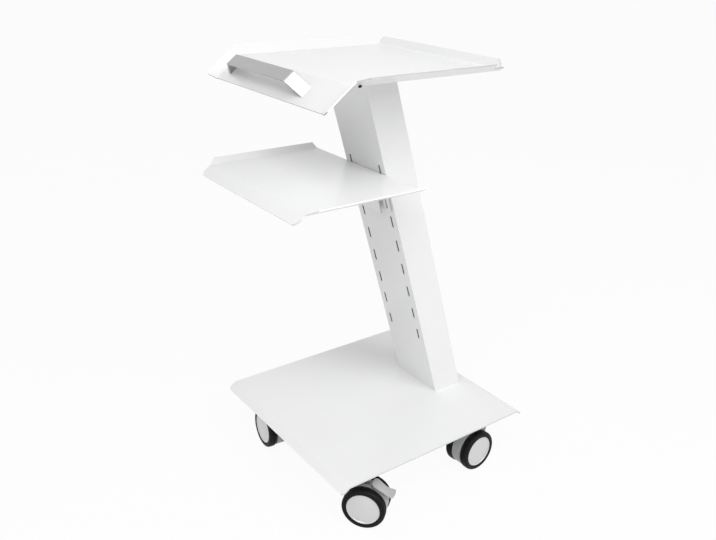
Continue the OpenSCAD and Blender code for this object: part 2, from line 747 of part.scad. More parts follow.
place() base_plate();
place() column_shell();
place() column_back_cover();
place() cover_screws();
place() column_foot_plate();
place() foot_bolts();
place() column_head_plate();
place() tray_studs();
place() tray_nuts();
place() top_tray();
place() tray_buttons();
place() handle_bar();
place() middle_shelf();
place() shelf_bracket();
place() shelf_studs();
place() shelf_nuts();
place() caster_studs();
place() caster_nuts();
place() mount(FR);  // front_right_mount
place() housing(FR);  // front_right_housing
place() axle(FR);  // front_right_axle
place() pedal(FR);  // front_right_pedal
place() pedal_pin(FR);  // front_right_pedal_pin
place() tyre(FR, 1);  // front_right_tyre_a
place() hub(FR, 1);  // front_right_hub_a
place() disc(FR, 1);  // front_right_disc_a
place() tyre(FR, -1);  // front_right_tyre_b
place() hub(FR, -1);  // front_right_hub_b
place() disc(FR, -1);  // front_right_disc_b
place() mount(FL);  // front_left_mount
place() housing(FL);  // front_left_housing
place() axle(FL);  // front_left_axle
place() pedal(FL);  // front_left_pedal
place() pedal_pin(FL);  // front_left_pedal_pin
place() tyre(FL, 1);  // front_left_tyre_a
place() hub(FL, 1);  // front_left_hub_a
place() disc(FL, 1);  // front_left_disc_a
place() tyre(FL, -1);  // front_left_tyre_b
place() hub(FL, -1);  // front_left_hub_b
place() disc(FL, -1);  // front_left_disc_b
place() mount(RR);  // rear_right_mount
place() housing(RR);  // rear_right_housing
place() axle(RR);  // rear_right_axle
place() tyre(RR, 1);  // rear_right_tyre_a
place() hub(RR, 1);  // rear_right_hub_a
place() disc(RR, 1);  // rear_right_disc_a
place() tyre(RR, -1);  // rear_right_tyre_b
place() hub(RR, -1);  // rear_right_hub_b
place() disc(RR, -1);  // rear_right_disc_b
place() mount(RL);  // rear_left_mount
place() housing(RL);  // rear_left_housing
place() axle(RL);  // rear_left_axle
place() tyre(RL, 1);  // rear_left_tyre_a
place() hub(RL, 1);  // rear_left_hub_a
place() disc(RL, 1);  // rear_left_disc_a
place() tyre(RL, -1);  // rear_left_tyre_b
place() hub(RL, -1);  // rear_left_hub_b
place() disc(RL, -1);  // rear_left_disc_b
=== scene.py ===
"""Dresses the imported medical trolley: powder-coated sheet metal, moulded twin-wheel casters, fasteners
and a plain studio. Lengths are in metres, in the frame's own axes: +X right, -Y front, +Z up."""

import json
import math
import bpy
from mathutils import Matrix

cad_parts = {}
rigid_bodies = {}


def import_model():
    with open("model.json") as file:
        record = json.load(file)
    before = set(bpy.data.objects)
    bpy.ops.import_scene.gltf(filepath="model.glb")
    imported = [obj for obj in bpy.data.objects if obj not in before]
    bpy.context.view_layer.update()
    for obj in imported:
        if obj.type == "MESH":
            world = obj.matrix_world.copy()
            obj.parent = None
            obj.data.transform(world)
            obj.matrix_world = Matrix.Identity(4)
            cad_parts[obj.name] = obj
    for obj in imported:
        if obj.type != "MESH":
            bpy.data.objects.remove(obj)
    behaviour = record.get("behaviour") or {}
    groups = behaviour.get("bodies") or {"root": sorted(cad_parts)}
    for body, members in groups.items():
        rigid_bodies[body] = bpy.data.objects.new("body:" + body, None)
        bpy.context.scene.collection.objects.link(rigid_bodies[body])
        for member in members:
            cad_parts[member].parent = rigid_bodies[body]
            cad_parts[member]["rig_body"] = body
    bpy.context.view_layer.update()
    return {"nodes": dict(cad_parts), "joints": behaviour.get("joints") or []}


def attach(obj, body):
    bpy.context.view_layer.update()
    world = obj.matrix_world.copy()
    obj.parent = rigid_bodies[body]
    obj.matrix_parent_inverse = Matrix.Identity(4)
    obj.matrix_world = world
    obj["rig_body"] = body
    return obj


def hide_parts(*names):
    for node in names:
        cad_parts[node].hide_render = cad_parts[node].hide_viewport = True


bl_info = {
    "name": "Medical trolley",
    "version": (1, 0, 0),
    "blender": (4, 5, 0),
    "location": "3D View > Sidebar > Trolley",
    "description": "Builds the looks of a medical trolley around its packed frame",
    "category": "Object",
}

from collections import namedtuple

import bmesh
import bpy
from mathutils import Matrix, Vector

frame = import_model()
MM = 0.001
CASTERS = ("front_right", "front_left", "rear_right", "rear_left")
JOINTS = {j["name"]: j for j in frame["joints"]}
BODY_OF = {n: o["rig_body"] for n, o in frame["nodes"].items()}


# Sizes and colours that a user would change


def length(label, about, millimetres):
    return bpy.props.FloatProperty(name=label, description=about, default=millimetres * MM, min=0.0,
                                   subtype="DISTANCE", unit="LENGTH", precision=5)


def angle(label, about, degrees):
    return bpy.props.FloatProperty(name=label, description=about, default=math.radians(degrees),
                                   subtype="ANGLE", unit="ROTATION")


def colour(label, about, value):
    return bpy.props.FloatVectorProperty(name=label, description=about, default=value, size=3,
                                         min=0.0, max=1.0, subtype="COLOR")


def share(label, about, value):
    return bpy.props.FloatProperty(name=label, description=about, default=value, min=0.0, max=1.0,
                                   subtype="FACTOR")


def watts(label, about, value):
    return bpy.props.FloatProperty(name=label, description=about, default=value, min=0.0, unit="POWER")


class TrolleySizes(bpy.types.PropertyGroup):
    sheet_edge: length("Sheet edge", "Rounding of the cut edges of the sheet metal", 0.45)
    bar_edge: length("Handle edge", "Rounding of the handle's long edges", 0.8)
    moulded_edge: length("Moulded edge", "Rounding of the caster housings' edges", 1.1)
    pedal_edge: length("Pedal edge", "Rounding of the brake pedals' edges", 0.7)
    mount_edge: length("Mount edge", "Rounding of the swivel heads' edges", 0.5)
    button_edge: length("Button edge", "Rounding of the tray's buttons", 0.4)
    wheel_edge: length("Wheel edge", "Rounding of the hubs, axles and pins", 0.3)
    fastener_edge: length("Fastener edge", "Rounding of the screws, bolts, studs and nuts", 0.25)
    tread_groove: length("Tread groove", "Depth of the grooves round each tyre", 0.9)


class TrolleyColours(bpy.types.PropertyGroup):
    enamel: colour("Enamel", "Powder coat of the sheet metal", (0.875, 0.877, 0.88))
    housing: colour("Housing", "Moulded caster housings", (0.40, 0.405, 0.41))
    cover: colour("Cover disc", "Moulded wheel covers", (0.68, 0.68, 0.685))
    pedal: colour("Pedal", "Moulded brake pedals", (0.52, 0.52, 0.525))
    rubber: colour("Tyre", "Rubber of the tyres", (0.008, 0.008, 0.009))
    bearing: colour("Mount", "Black swivel heads and buttons", (0.007, 0.007, 0.008))
    handle: colour("Handle", "Satin metal of the grab handle", (0.46, 0.46, 0.465))
    zinc: colour("Zinc", "Plated screws, bolts and nuts", (0.55, 0.56, 0.58))
    floor: colour("Floor", "Pale studio floor", (0.85, 0.85, 0.85))


class TrolleyStudio(bpy.types.PropertyGroup):
    camera_place: bpy.props.FloatVectorProperty(
        name="Camera place", description="Where the camera stands", default=(1.0858, -0.8143, 0.9920), size=3,
        subtype="TRANSLATION", unit="LENGTH")
    camera_yaw: angle("Camera yaw", "Turn of the view to the left of straight back", 52.6)
    camera_pitch: angle("Camera pitch", "Fall of the view below level", 21.61)
    camera_roll: angle("Camera roll", "Turn of the camera about its own line of sight", 1.63)
    camera_lens: bpy.props.FloatProperty(
        name="Camera lens", description="Focal length in millimetres", default=40.30, min=1.0)
    key_light: watts("Key light", "Strength of the panel high up in front and to the right", 39.0)
    right_light: watts("Right light", "Strength of the panel high up on the right", 34.0)
    sky: share("Sky", "Strength of the even light from all round", 0.45)


# Shader nodes


def add_group(name, inputs, outputs):
    """An empty shader node group with these sockets, and its two end nodes."""
    tree = bpy.data.node_groups.new(name, "ShaderNodeTree")
    for label, kind, value in inputs:
        socket = tree.interface.new_socket(label, in_out="INPUT", socket_type=kind)
        socket.default_value = value
    for label, kind in outputs:
        tree.interface.new_socket(label, in_out="OUTPUT", socket_type=kind)
    return tree, tree.nodes.new("NodeGroupInput"), tree.nodes.new("NodeGroupOutput")


def feed(tree, socket, value):
    """Links a socket to value where that is a socket too, and otherwise sets it."""
    if isinstance(value, bpy.types.NodeSocket):
        tree.links.new(value, socket)
    else:
        socket.default_value = value


def add_noise(tree, coordinates, scale, detail, roughness):
    node = tree.nodes.new("ShaderNodeTexNoise")
    feed(tree, node.inputs["Vector"], coordinates)
    feed(tree, node.inputs["Scale"], scale)
    feed(tree, node.inputs["Detail"], detail)
    feed(tree, node.inputs["Roughness"], roughness)
    return node.outputs["Fac"]


def add_range(tree, value, low, high, new_low, new_high):
    """The value, held within low and high and stretched to the new ends."""
    node = tree.nodes.new("ShaderNodeMapRange")
    feed(tree, node.inputs["Value"], value)
    feed(tree, node.inputs["From Min"], low)
    feed(tree, node.inputs["From Max"], high)
    feed(tree, node.inputs["To Min"], new_low)
    feed(tree, node.inputs["To Max"], new_high)
    return node.outputs["Result"]


def add_math(tree, operation, a, b):
    node = tree.nodes.new("ShaderNodeMath")
    node.operation = operation
    feed(tree, node.inputs[0], a)
    feed(tree, node.inputs[1], b)
    return node.outputs["Value"]


def add_mix(tree, factor, a, b, blend="MIX"):
    node = tree.nodes.new("ShaderNodeMix")
    node.data_type = "RGBA"
    node.blend_type = blend
    feed(tree, node.inputs["Factor"], factor)
    feed(tree, node.inputs["A"], a)
    feed(tree, node.inputs["B"], b)
    return node.outputs["Result"]


# painted shade: the sheet's cut faces and the walls of its holes are darkened towards this near-black colour,
# standing in for the shade along the edges and inside the slots
CUT_FLAG = "cut"
CUT_SHADE_ATTRIBUTE = "cut_painted_shade"
CUT_SHADE_COLOUR = (0.10, 0.10, 0.105, 1.0)
TONE_SHADE = (0.45, 0.45, 0.45, 1.0)
# detail and roughness of the grain's noise, and scale, detail and roughness of the others
GRAIN_NOISE = (2.0, 0.5)
TONE_NOISE = (9.0, 4.0, 0.55)
SMEAR_NOISE = (31.0, 5.0, 0.62)
SPECK_NOISE = (1400.0, 1.0, 0.4)
# the part of each noise's range that counts
TONE_RANGE = (0.35, 0.7)
SMEAR_RANGE = (0.3, 0.72)
SPECK_RANGE = (0.68, 0.8)


def finish_group():
    """Grain, soft tone changes, fine dust and painted shade on cut edges and inside holes, shared by every
    finish of the trolley.
    """
    tree, start, end = add_group(
        "Finish",
        [("Colour", "NodeSocketColor", (0.8, 0.8, 0.8, 1.0)),
         ("Dirt", "NodeSocketColor", (0.3, 0.29, 0.27, 1.0)),
         ("Roughness", "NodeSocketFloat", 0.4),
         ("Roughness change", "NodeSocketFloat", 0.06),
         ("Grain scale", "NodeSocketFloat", 900.0),
         ("Tone change", "NodeSocketFloat", 0.03),
         ("Dust", "NodeSocketFloat", 0.04),
         ("Cut edge painted shade", "NodeSocketFloat", 0.0),
         ("Stretch", "NodeSocketVector", (1.0, 1.0, 1.0))],
        [("Colour", "NodeSocketColor"),
         ("Roughness", "NodeSocketFloat"),
         ("Height", "NodeSocketFloat")])
    place = tree.nodes.new("ShaderNodeTexCoord")
    stretch = tree.nodes.new("ShaderNodeVectorMath")
    stretch.operation = "MULTIPLY"
    tree.links.new(place.outputs["Object"], stretch.inputs[0])
    tree.links.new(start.outputs["Stretch"], stretch.inputs[1])
    spot = stretch.outputs["Vector"]
    grain = add_noise(tree, spot, start.outputs["Grain scale"], *GRAIN_NOISE)
    tone = add_range(tree, add_noise(tree, spot, *TONE_NOISE), *TONE_RANGE, 0.0, 1.0)
    smear = add_range(tree, add_noise(tree, spot, *SMEAR_NOISE), *SMEAR_RANGE, -1.0, 1.0)
    specks = add_range(tree, add_noise(tree, spot, *SPECK_NOISE), *SPECK_RANGE, 0.0, 1.0)
    shade = add_math(tree, "MULTIPLY", tone, start.outputs["Tone change"])
    toned = add_mix(tree, shade, start.outputs["Colour"], TONE_SHADE, "MULTIPLY")
    dust = add_math(tree, "MULTIPLY", specks, start.outputs["Dust"])
    dusty = add_mix(tree, dust, toned, start.outputs["Dirt"])
    # painted shade: cut faces and hole walls are darkened towards a near-black colour by the attribute
    cut = tree.nodes.new("ShaderNodeAttribute")
    cut.attribute_name = CUT_SHADE_ATTRIBUTE
    painted_shade = add_math(tree, "MULTIPLY", cut.outputs["Fac"], start.outputs["Cut edge painted shade"])
    tree.links.new(add_mix(tree, painted_shade, dusty, CUT_SHADE_COLOUR), end.inputs["Colour"])
    change = add_math(tree, "MULTIPLY", smear, start.outputs["Roughness change"])
    tree.links.new(add_math(tree, "ADD", start.outputs["Roughness"], change), end.inputs["Roughness"])
    tree.links.new(grain, end.inputs["Height"])
    return tree


# colour is a key of TrolleyColours, bump is in mm, cut sets the painted shade on cut edges and inside holes,
# and stretch scales the grain along X, Y and Z
Finish = namedtuple(
    "Finish", "colour rough rough_change grain bump tone dust metal cut stretch coat specular",
    defaults=(0.0, 0.0, (1, 1, 1), 0.0, 0.5))

FINISHES = {
    # the powder coat's cut share paints shade on its cut edges and inside the column's slots
    "Powder coat": Finish("enamel", 0.37, 0.04, 700.0, 0.022, 0.02, 0.02, cut=0.72, coat=0.35),
    "Satin metal": Finish("handle", 0.40, 0.05, 1500.0, 0.010, 0.05, 0.03, metal=1.0, stretch=(0.12, 1, 1)),
    "Grey mould": Finish("housing", 0.42, 0.07, 1500.0, 0.030, 0.10, 0.10),
    "Light mould": Finish("pedal", 0.38, 0.05, 1500.0, 0.018, 0.05, 0.06, coat=0.15),
    "Disc": Finish("cover", 0.38, 0.05, 1500.0, 0.010, 0.06, 0.05, metal=0.55, coat=0.2),
    "Tyre rubber": Finish("rubber", 0.50, 0.10, 1100.0, 0.050, 0.25, 0.03, specular=0.13),
    "Black head": Finish("bearing", 0.45, 0.08, 1300.0, 0.040, 0.10, 0.04, specular=0.13),
    "Zinc plate": Finish("zinc", 0.42, 0.08, 1600.0, 0.012, 0.12, 0.10, metal=1.0, stretch=(1, 1, 3)),
}
BUMP_STRENGTH = 0.6
COAT_ROUGHNESS = 0.12


def make_finish(name):
    """The material of one finish, made once."""
    if name in bpy.data.materials:
        return bpy.data.materials[name]
    finish = FINISHES[name]
    material = bpy.data.materials.new(name)
    material.use_nodes = True
    tree = material.node_tree
    shader = tree.nodes["Principled BSDF"]
    use = tree.nodes.new("ShaderNodeGroup")
    use.node_tree = bpy.data.node_groups.get("Finish") or finish_group()
    values = {
        "Colour": (*getattr(bpy.context.scene.trolley_colours, finish.colour), 1.0),
        "Roughness": finish.rough,
        "Roughness change": finish.rough_change,
        "Grain scale": finish.grain,
        "Tone change": finish.tone,
        "Dust": finish.dust,
        "Cut edge painted shade": finish.cut,
        "Stretch": finish.stretch,
    }
    for label, value in values.items():
        use.inputs[label].default_value = value
    bump = tree.nodes.new("ShaderNodeBump")
    bump.inputs["Strength"].default_value = BUMP_STRENGTH
    bump.inputs["Distance"].default_value = finish.bump * MM
    tree.links.new(use.outputs["Height"], bump.inputs["Height"])
    tree.links.new(use.outputs["Colour"], shader.inputs["Base Color"])
    tree.links.new(use.outputs["Roughness"], shader.inputs["Roughness"])
    tree.links.new(bump.outputs["Normal"], shader.inputs["Normal"])
    shader.inputs["Metallic"].default_value = finish.metal
    shader.inputs["Coat Weight"].default_value = finish.coat
    shader.inputs["Coat Roughness"].default_value = COAT_ROUGHNESS
    shader.inputs["Specular IOR Level"].default_value = finish.specular
    return material


# Meshes

MERGE_WITHIN = 0.004 * MM
SEAM_WITHIN = 0.002 * MM
# turns between two faces, in degrees
FLAT_TURN = 0.3
ROUND_TURN = 28.0
SQUARE_TURN = 50.0
# width of a cut face, as a share of the sheet's thickness
CUT_LEAST = 0.6
CUT_MOST = 1.4


def corner_normals(bm, sharp):
    """A normal for each face corner, weighted by area so that rounded edges leave the large faces flat."""
    bm.normal_update()
    bm.faces.index_update()
    weighted = [face.normal * face.calc_area() for face in bm.faces]
    least = math.cos(math.radians(sharp))
    normals = []
    for face in bm.faces:
        for loop in face.loops:
            near = (f for f in loop.vert.link_faces if f.normal.dot(face.normal) > least)
            total = sum((weighted[f.index] for f in near), Vector())
            normals.append(total.normalized() if total.length > 0.0 else face.normal.copy())
    return normals


def add_piece(name, bm, finish, node, sharp=SQUARE_TURN):
    """Links a finished bmesh as a piece that stands for a CAD node and rides on its body."""
    mesh = bpy.data.meshes.new(name)
    normals = corner_normals(bm, sharp)
    bm.to_mesh(mesh)
    bm.free()
    mesh.polygons.foreach_set("use_smooth", [True] * len(mesh.polygons))
    mesh.set_sharp_from_angle(angle=math.radians(sharp))
    mesh.normals_split_custom_set(normals)
    mesh.materials.append(make_finish(finish))
    piece = bpy.data.objects.new(name, mesh)
    bpy.context.scene.collection.objects.link(piece)
    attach(piece, BODY_OF[node])
    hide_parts(node)


def merged_copy(node):
    """A bmesh of a CAD node with its triangles joined into whole faces."""
    bm = bmesh.new()
    bm.from_mesh(frame["nodes"][node].data)
    bmesh.ops.remove_doubles(bm, verts=bm.verts, dist=MERGE_WITHIN)
    bmesh.ops.dissolve_limit(bm, angle_limit=math.radians(FLAT_TURN), verts=bm.verts, edges=bm.edges)
    return bm


def steeper_than(edge, degrees):
    """Whether an edge joins two faces that turn by more than this."""
    return len(edge.link_faces) == 2 and edge.calc_face_angle(0.0) > math.radians(degrees)


def round_edges(bm, width, segments, least=ROUND_TURN):
    """Bevels every edge whose faces turn by more than the least angle."""
    edges = [edge for edge in bm.edges if steeper_than(edge, least)]
    bmesh.ops.bevel(bm, geom=edges, offset=width, offset_type="OFFSET", segments=segments, profile=0.5,
                    affect="EDGES", clamp_overlap=True, material=-1)


def find_cuts(bm, sheet):
    """Flags the faces along the cut edges of a sheet of this thickness, and those inside its holes, where
    shade is painted.
    """
    flag = bm.faces.layers.int.new(CUT_FLAG)
    for face in bm.faces:
        square = sum(edge.calc_length() for edge in face.edges if steeper_than(edge, SQUARE_TURN))
        wide = 2.0 * face.calc_area() / square if square else 0.0
        face[flag] = int(CUT_LEAST * sheet < wide < CUT_MOST * sheet)


def paint_cut_shade(bm, painted_shade):
    """Writes the flags of find_cuts, at this strength, into a colour attribute of painted shade."""
    flag = bm.faces.layers.int[CUT_FLAG]
    tone = bm.loops.layers.float_color.new(CUT_SHADE_ATTRIBUTE)
    for face in bm.faces:
        value = painted_shade * face[flag]
        for loop in face.loops:
            loop[tone] = (value, value, value, 1.0)


def dress_copy(node, finish, width, segments=2, sheet=0.0, painted_shade=0.0):
    """A copy of a CAD node with rounded edges; a sheet's thickness finds its cut edges and holes, and shade
    is painted on them at the given strength.
    """
    bm = merged_copy(node)
    if sheet:
        find_cuts(bm, sheet)
    round_edges(bm, width, segments)
    if sheet:
        paint_cut_shade(bm, painted_shade)
    add_piece(node + "_rounded", bm, finish, node)


def turned(profile, steps):
    """A bmesh of a closed profile of (radius, height) points, turned about Z."""
    bm = bmesh.new()
    verts = [bm.verts.new((r, 0.0, z)) for r, z in profile]
    edges = [bm.edges.new((a, b)) for a, b in zip(verts, verts[1:] + verts[:1])]
    bmesh.ops.spin(bm, geom=verts + edges, cent=(0, 0, 0), axis=(0, 0, 1), angle=math.tau, steps=steps,
                   use_merge=True, use_duplicate=False)
    bmesh.ops.remove_doubles(bm, verts=bm.verts, dist=SEAM_WITHIN)
    bmesh.ops.recalc_face_normals(bm, faces=bm.faces)
    return bm


def wheel_matrix(caster, side):
    """From a wheel's own axes, with +Z outward along the axle, to the frame's."""
    joint = JOINTS["%s_wheel_%s_spin" % (caster, side)]
    outward = Vector(joint["axis"]) * (1 if side == "a" else -1)
    return Matrix.Translation(joint["pos_m"]) @ outward.to_track_quat("Z", "X").to_matrix().to_4x4()


def caster_matrix(caster):
    """From a caster's own axes, with +X from the pivot to the axle and the floor at 0, to the frame's."""
    pivot = Vector(JOINTS[caster + "_swivel"]["pos_m"])
    forward = Vector(JOINTS[caster + "_wheel_a_spin"]["pos_m"]) - pivot
    turn = math.atan2(forward.y, forward.x)
    return Matrix.Translation((pivot.x, pivot.y, 0.0)) @ Matrix.Rotation(turn, 4, "Z")


# Tyres: radius, and distance from the caster's middle

HUB_R = 31.5 * MM
WHEEL_R = 40.0 * MM
TYRE_IN = 11.4 * MM
TYRE_OUT = 27.4 * MM
SHOULDER_IN = 4.0 * MM
SHOULDER_OUT = 5.0 * MM
SHOULDER_STEP = 15
GROOVES = (17.6 * MM, 20.4 * MM)
GROOVE_TOP = 0.8 * MM
GROOVE_FLOOR = 0.45 * MM
TYRE_STEPS = 96


def tyre_profile(groove):
    """Closed profile of a tyre with two grooves of this depth."""
    points = [(HUB_R, TYRE_IN)]
    for degrees in range(0, 91, SHOULDER_STEP):
        a = math.radians(degrees)
        points.append((WHEEL_R - SHOULDER_IN * (1 - math.sin(a)),
                       TYRE_IN + SHOULDER_IN * (1 - math.cos(a))))
    for middle in GROOVES:
        points += [(WHEEL_R, middle - GROOVE_TOP), (WHEEL_R - groove, middle - GROOVE_FLOOR),
                   (WHEEL_R - groove, middle + GROOVE_FLOOR), (WHEEL_R, middle + GROOVE_TOP)]
    for degrees in range(90, -1, -SHOULDER_STEP):
        a = math.radians(degrees)
        points.append((WHEEL_R - SHOULDER_OUT * (1 - math.sin(a)),
                       TYRE_OUT - SHOULDER_OUT * (1 - math.cos(a))))
    points.append((HUB_R, TYRE_OUT))
    return points


# Cover discs: radius, and distance from the caster's middle

DISC_R = 30.5 * MM
DISC_BACK = 24.8 * MM
DISC_FACE = 26.4 * MM
DISC_CHAMFER = 0.6 * MM
DISC_STEPS = 72
# radius, and height over the disc's face in mm: the dome, the groove round it and the rim
DISC_FRONT = (
    (0.0, 2.9), (6.0, 2.75), (12.0, 2.35), (18.0, 1.6), (23.0, 0.7), (26.6, -0.35), (27.4, -0.35),
    (28.0, 0.25), (29.6, 0.35), (30.2, 0.1))
# radius, and height over the disc's back in mm: its hollow
DISC_HOLLOW = ((28.5, 0.0), (0.0, 2.9))


def disc_profile():
    """Closed profile of a cover disc: a domed middle, a groove round it and a raised rim."""
    points = [(r * MM, DISC_FACE + z * MM) for r, z in DISC_FRONT]
    points += [(DISC_R, DISC_FACE - DISC_CHAMFER), (DISC_R, DISC_BACK)]
    return points + [(r * MM, DISC_BACK + z * MM) for r, z in DISC_HOLLOW]


# Brake pedals, in their caster's own axes

PEDAL_STATIONS = (
    # forward of the pivot, height of the top and half width, in mm
    (32.5, 84.2, 6.5), (34.0, 84.0, 9.4), (36.5, 83.3, 11.3), (40.0, 82.0, 12.0), (45.0, 78.7, 11.6),
    (50.0, 75.1, 10.8), (55.0, 71.8, 10.3), (60.0, 69.0, 10.6), (64.0, 67.6, 11.5), (68.0, 67.1, 12.0),
    (71.0, 67.2, 11.0), (72.8, 67.4, 8.8), (73.4, 67.5, 6.0))
PEDAL_ACROSS = 6
# how far the tongue's sides lie below its middle, in mm
PEDAL_DROOP = 0.7
PEDAL_THICK = 2.4 * MM
PEDAL_PIN = Vector((26.0, 0.0, 68.0)) * MM
PIN_BORE_R = 3.2 * MM
BOSS_R = 6.0 * MM
BOSS_STEPS = 40
WEB_HALF = 4.0 * MM
# side view of the web above the pin's bore, in mm: its back and front corners, at the bottom and at the top
WEB_LOW = ((22.5, 73.0), (32.0, 69.3))
WEB_TOP = ((33.5, 82.5), (50.0, 73.5))


def pedal_shape(edge):
    """A moulded brake pedal: a waisted tongue on a web, and the boss round its pin."""
    bm = bmesh.new()
    last = len(PEDAL_STATIONS) - 1
    bmesh.ops.create_grid(bm, x_segments=last, y_segments=PEDAL_ACROSS, size=1.0)
    for vert in bm.verts:
        x, z, half = PEDAL_STATIONS[round((vert.co.x + 1.0) / 2.0 * last)]
        across = vert.co.y
        vert.co = Vector((x, across * half, z - PEDAL_DROOP * across ** 2)) * MM
    bmesh.ops.recalc_face_normals(bm, faces=bm.faces)
    if bm.faces[0].normal.z < 0.0:
        bmesh.ops.reverse_faces(bm, faces=bm.faces)
    bmesh.ops.solidify(bm, geom=bm.faces[:], thickness=PEDAL_THICK)
    bmesh.ops.recalc_face_normals(bm, faces=bm.faces)
    round_edges(bm, edge, 3, SQUARE_TURN)
    for vert in bmesh.ops.create_cube(bm, size=2.0)["verts"]:
        back_and_front = WEB_LOW if vert.co.z < 0.0 else WEB_TOP
        x, z = back_and_front[vert.co.x > 0.0]
        vert.co = Vector((x * MM, vert.co.y * WEB_HALF, z * MM))
    add_boss(bm)
    return bm


def add_boss(bm):
    """Adds the ring round the pedal's pin."""
    profile = [(PIN_BORE_R, -WEB_HALF), (BOSS_R, -WEB_HALF), (BOSS_R, WEB_HALF), (PIN_BORE_R, WEB_HALF)]
    boss = turned(profile, BOSS_STEPS)
    turn = Matrix.Translation(PEDAL_PIN) @ Matrix.Rotation(math.pi / 2, 4, "X")
    bmesh.ops.transform(boss, matrix=turn, verts=boss.verts)
    ring = bpy.data.meshes.new("boss")
    boss.to_mesh(ring)
    boss.free()
    bm.from_mesh(ring)
    bpy.data.meshes.remove(ring)


# Operators for the pieces


SHEETS = {
    # thickness of each sheet piece, and how strong the painted shade on its cut edges and inside its holes is
    "base_plate": (3.0 * MM, 0.3),
    "column_shell": (2.0 * MM, 1.0),
    "column_back_cover": (1.5 * MM, 0.4),
    "column_foot_plate": (5.0 * MM, 0.4),
    "column_head_plate": (5.0 * MM, 0.4),
    "top_tray": (2.0 * MM, 0.65),
    "middle_shelf": (2.0 * MM, 0.4),
    "shelf_bracket": (2.0 * MM, 0.6),
}
FASTENERS = ("cover_screws", "foot_bolts", "tray_studs", "tray_nuts", "shelf_studs", "shelf_nuts",
             "caster_studs", "caster_nuts")


class TROLLEY_OT_sheet_metal(bpy.types.Operator):
    """Dress the base plate, column, tray and shelf"""

    bl_idname = "trolley.sheet_metal"
    bl_label = "Sheet metal"

    def execute(self, context):
        edge = context.scene.trolley_sizes.sheet_edge
        for node, (sheet, painted_shade) in SHEETS.items():
            dress_copy(node, "Powder coat", edge, sheet=sheet, painted_shade=painted_shade)
        return {"FINISHED"}


class TROLLEY_OT_handle(bpy.types.Operator):
    """Dress the grab handle"""

    bl_idname = "trolley.handle"
    bl_label = "Handle"

    def execute(self, context):
        dress_copy("handle_bar", "Satin metal", context.scene.trolley_sizes.bar_edge, 3)
        return {"FINISHED"}


class TROLLEY_OT_fasteners(bpy.types.Operator):
    """Dress the screws, bolts, nuts, studs and the tray's buttons"""

    bl_idname = "trolley.fasteners"
    bl_label = "Fasteners"

    def execute(self, context):
        sizes = context.scene.trolley_sizes
        for node in FASTENERS:
            dress_copy(node, "Zinc plate", sizes.fastener_edge)
        dress_copy("tray_buttons", "Black head", sizes.button_edge, 3)
        return {"FINISHED"}


class TROLLEY_OT_tyres(bpy.types.Operator):
    """Turn the tyres, with grooves round their tread"""

    bl_idname = "trolley.tyres"
    bl_label = "Tyres"

    def execute(self, context):
        profile = tyre_profile(context.scene.trolley_sizes.tread_groove)
        for caster in CASTERS:
            for side in "ab":
                node = "%s_tyre_%s" % (caster, side)
                bm = turned(profile, TYRE_STEPS)
                bmesh.ops.transform(bm, matrix=wheel_matrix(caster, side), verts=bm.verts)
                add_piece(node + "_tread", bm, "Tyre rubber", node, sharp=30.0)
        return {"FINISHED"}


class TROLLEY_OT_wheels(bpy.types.Operator):
    """Dress the hubs and axles, and turn the cover discs"""

    bl_idname = "trolley.wheels"
    bl_label = "Wheels"

    def execute(self, context):
        edge = context.scene.trolley_sizes.wheel_edge
        for caster in CASTERS:
            for side in "ab":
                dress_copy("%s_hub_%s" % (caster, side), "Grey mould", edge)
                node = "%s_disc_%s" % (caster, side)
                bm = turned(disc_profile(), DISC_STEPS)
                bmesh.ops.transform(bm, matrix=wheel_matrix(caster, side), verts=bm.verts)
                add_piece(node + "_turned", bm, "Disc", node, sharp=25.0)
            dress_copy(caster + "_axle", "Zinc plate", edge)
        return {"FINISHED"}


class TROLLEY_OT_casters(bpy.types.Operator):
    """Dress the caster housings and swivel heads, and mould the brake pedals"""

    bl_idname = "trolley.casters"
    bl_label = "Casters"

    def execute(self, context):
        sizes = context.scene.trolley_sizes
        for caster in CASTERS:
            dress_copy(caster + "_housing", "Grey mould", sizes.moulded_edge, 3)
            dress_copy(caster + "_mount", "Black head", sizes.mount_edge)
            if caster.startswith("front"):
                node = caster + "_pedal"
                bm = pedal_shape(sizes.pedal_edge)
                bmesh.ops.transform(bm, matrix=caster_matrix(caster), verts=bm.verts)
                add_piece(node + "_moulded", bm, "Light mould", node, sharp=35.0)
                dress_copy(caster + "_pedal_pin", "Zinc plate", sizes.wheel_edge)
        return {"FINISHED"}


# Studio

WHITE = (1.0, 1.0, 1.0, 1.0)
FLOOR_HALF = 14.0
FLOOR_ROUGHNESS = 0.9
FLOOR_GLOW = 0.94
LAMP_AIM = (0.0, 0.0, 0.5)
KEY_PLACE = (1.4, -1.6, 2.6)
KEY_SIZE = 1.6
RIGHT_PLACE = (2.3, 0.35, 2.4)
RIGHT_SIZE = 1.7
SENSOR_WIDTH = 36.0
# the photo's middle lies off the line of sight by these shares of its width
CAMERA_SHIFT = (-0.0195, -0.0374)
CAMERA_REACH = 60.0


def mix_shaders(tree, part, rest, white):
    """The shader rest, with this part of it taken by the shader white."""
    mix = tree.nodes.new("ShaderNodeMixShader")
    tree.links.new(part, mix.inputs["Fac"])
    tree.links.new(rest, mix.inputs[1])
    tree.links.new(white, mix.inputs[2])
    return mix.outputs["Shader"]


